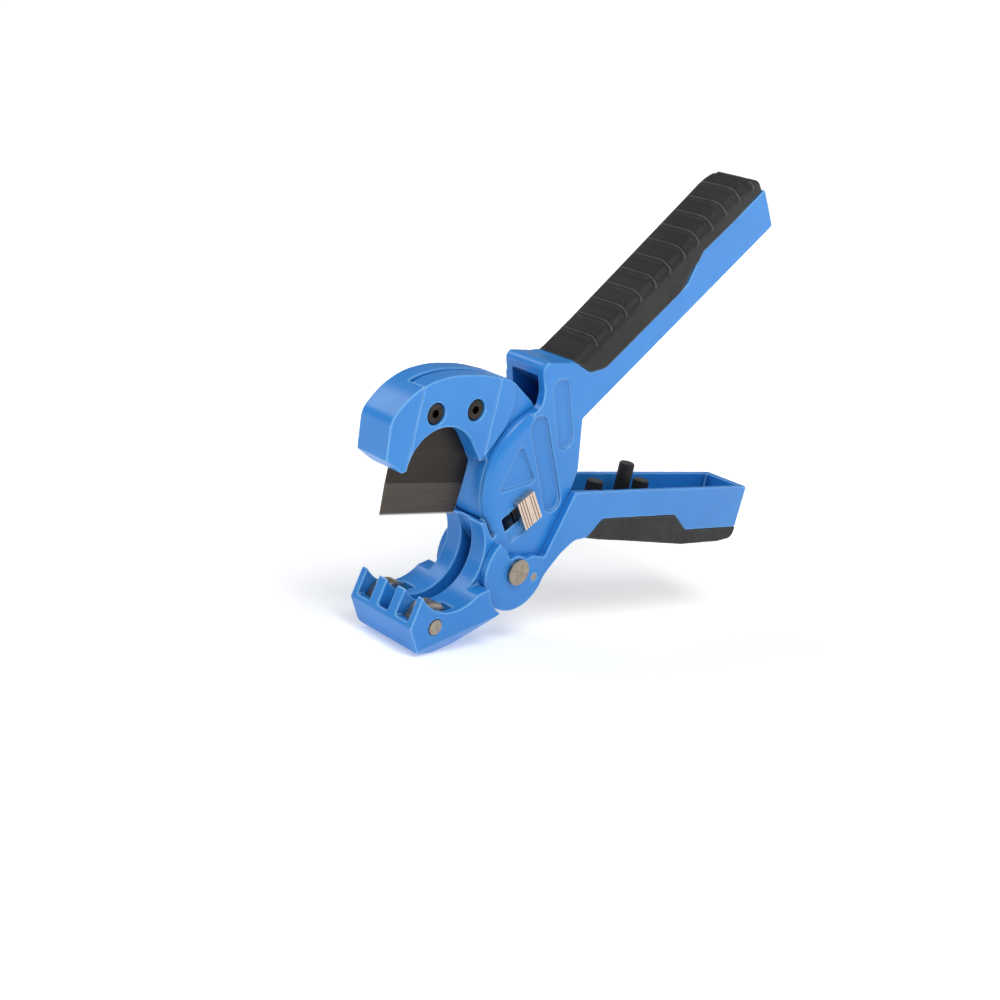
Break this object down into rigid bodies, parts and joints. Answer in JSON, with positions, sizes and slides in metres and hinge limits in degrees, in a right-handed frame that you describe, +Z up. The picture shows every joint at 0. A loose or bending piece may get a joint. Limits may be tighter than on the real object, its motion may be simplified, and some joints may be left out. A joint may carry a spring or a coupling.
{
  "type": "pipe cutter",
  "caption": "One-hand ratcheting pipe cutter: hinged blade carrier over a roller jaw, fixed upper handle, squeezing lower handle, thumb latch and rubber grips.",
  "frame": {"origin": "the axis of the pipe that lies in the jaw, in the plane of the blade", "axes": "+X from the jaw towards the handles, +Z up with the blade's edge and the lower handle level, Y across the tool's thickness with the thumb latch on the -Y side"},
  "size_m": [0.2178, 0.0354, 0.1966],
  "materials": {
    "cast_blue": "smooth semi-gloss blue powder coat on cast aluminium",
    "grip_rubber": "satin moulded rubber, raised ridges across the palm side",
    "bumper_rubber": "matt moulded rubber",
    "blade_steel": "dark ground tool steel, brighter at the bevel",
    "screw_steel": "black-oxide steel",
    "pin_steel": "ground steel",
    "spring_steel": "drawn spring wire",
    "roller_steel": "turned steel",
    "latch_nickel": "grooved satin nickel",
    "bronze": "sintered bronze"
  },
  "bodies": {
    "frame": {"main_frame": "cast_blue", "upper_grip": "grip_rubber", "roller_pins": "pin_steel", "carrier_pivot_pin": "pin_steel", "handle_pivot_pin": "pin_steel", "handle_pin_clip": "screw_steel", "carrier_spring": "spring_steel", "handle_spring": "spring_steel"},
    "carrier": {"blade_carrier": "cast_blue", "carrier_cover": "cast_blue", "blade": "blade_steel", "blade_screws": "screw_steel", "carrier_bush": "bronze"},
    "handle": {"lower_handle": "cast_blue", "lower_grip": "grip_rubber", "handle_bumper": "bumper_rubber", "pawl_pin": "pin_steel", "pawl_pin_clip": "screw_steel", "pawl_spring": "spring_steel"},
    "pawl": {"pawl": "pin_steel"},
    "latch": {"latch_button": "latch_nickel", "latch_slider": "pin_steel", "latch_screw": "screw_steel", "latch_spring": "spring_steel"},
    "front_roller": {"roller_front": "roller_steel"},
    "rear_roller": {"roller_rear": "roller_steel"}
  },
  "joints": [
    {"name": "carrier_close", "type": "hinge", "parent": "frame", "child": "carrier", "pos_m": [0.0437, 0, 0.0293], "axis": [0, -1, 0], "range_deg": [0, 38.5]},
    {"name": "handle_squeeze", "type": "hinge", "parent": "frame", "child": "handle", "pos_m": [0.036, 0, -0.006], "axis": [0, -1, 0], "range_deg": [0, 27]},
    {"name": "pawl_swing", "type": "hinge", "parent": "handle", "child": "pawl", "pos_m": [0.047, 0, -0.009], "axis": [0, -1, 0], "range_deg": [-27.5, 0.5]},
    {"name": "latch_slide", "type": "slide", "parent": "frame", "child": "latch", "axis": [-0.7986, 0, -0.6018], "range_m": [0, 0.007]},
    {"name": "front_roller_spin", "type": "hinge", "parent": "frame", "child": "front_roller", "pos_m": [-0.005, 0, -0.0248], "axis": [0, -1, 0], "continuous": true},
    {"name": "rear_roller_spin", "type": "hinge", "parent": "frame", "child": "rear_roller", "pos_m": [-0.005, 0, -0.0248], "axis": [0, -1, 0], "continuous": true}
  ],
  "couplings": [
    {"joint": "pawl_swing", "follows": "handle_squeeze", "ratio": -1}
  ]
}
